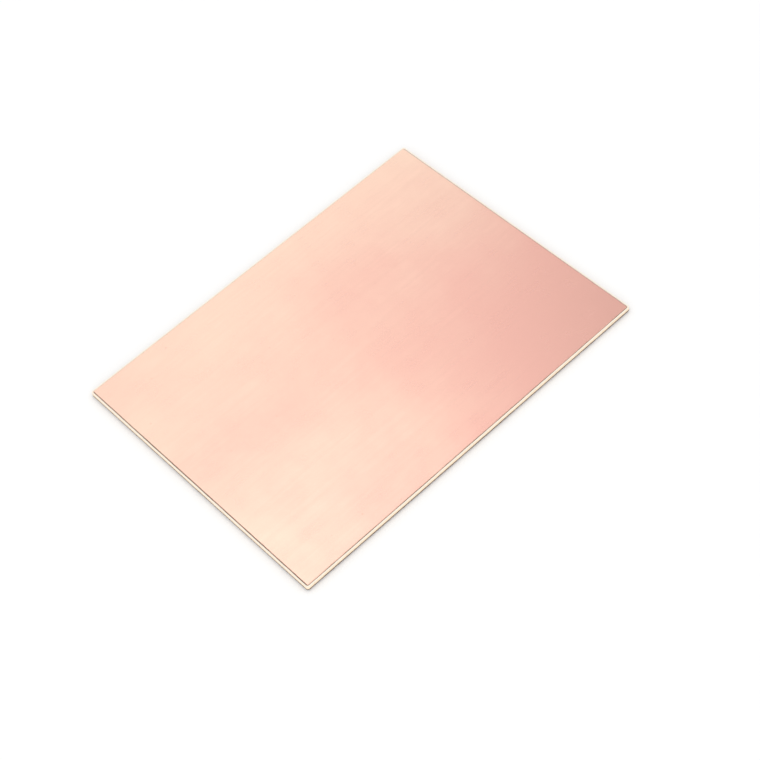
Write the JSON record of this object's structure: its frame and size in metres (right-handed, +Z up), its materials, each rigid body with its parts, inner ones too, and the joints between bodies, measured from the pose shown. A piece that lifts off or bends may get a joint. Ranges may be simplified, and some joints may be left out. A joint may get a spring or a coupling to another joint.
{
  "type": "copper clad board",
  "caption": "Small rectangular sheet of pale glass-epoxy laminate with bright copper foil bonded over its upper face up to a hair-thin bare rim; blank stock for making printed circuits.",
  "frame": {"origin": "centre of the bare laminate underside", "axes": "+X along the long side, +Y along the short side, +Z up through the copper face"},
  "size_m": [0.1, 0.075, 0.0015],
  "materials": {
    "laminate": "satin cured epoxy with a faint glass weave",
    "copper": "clean satin copper foil"
  },
  "bodies": {
    "root": {"laminate_core": "laminate", "copper_foil": "copper"}
  },
  "joints": []
}
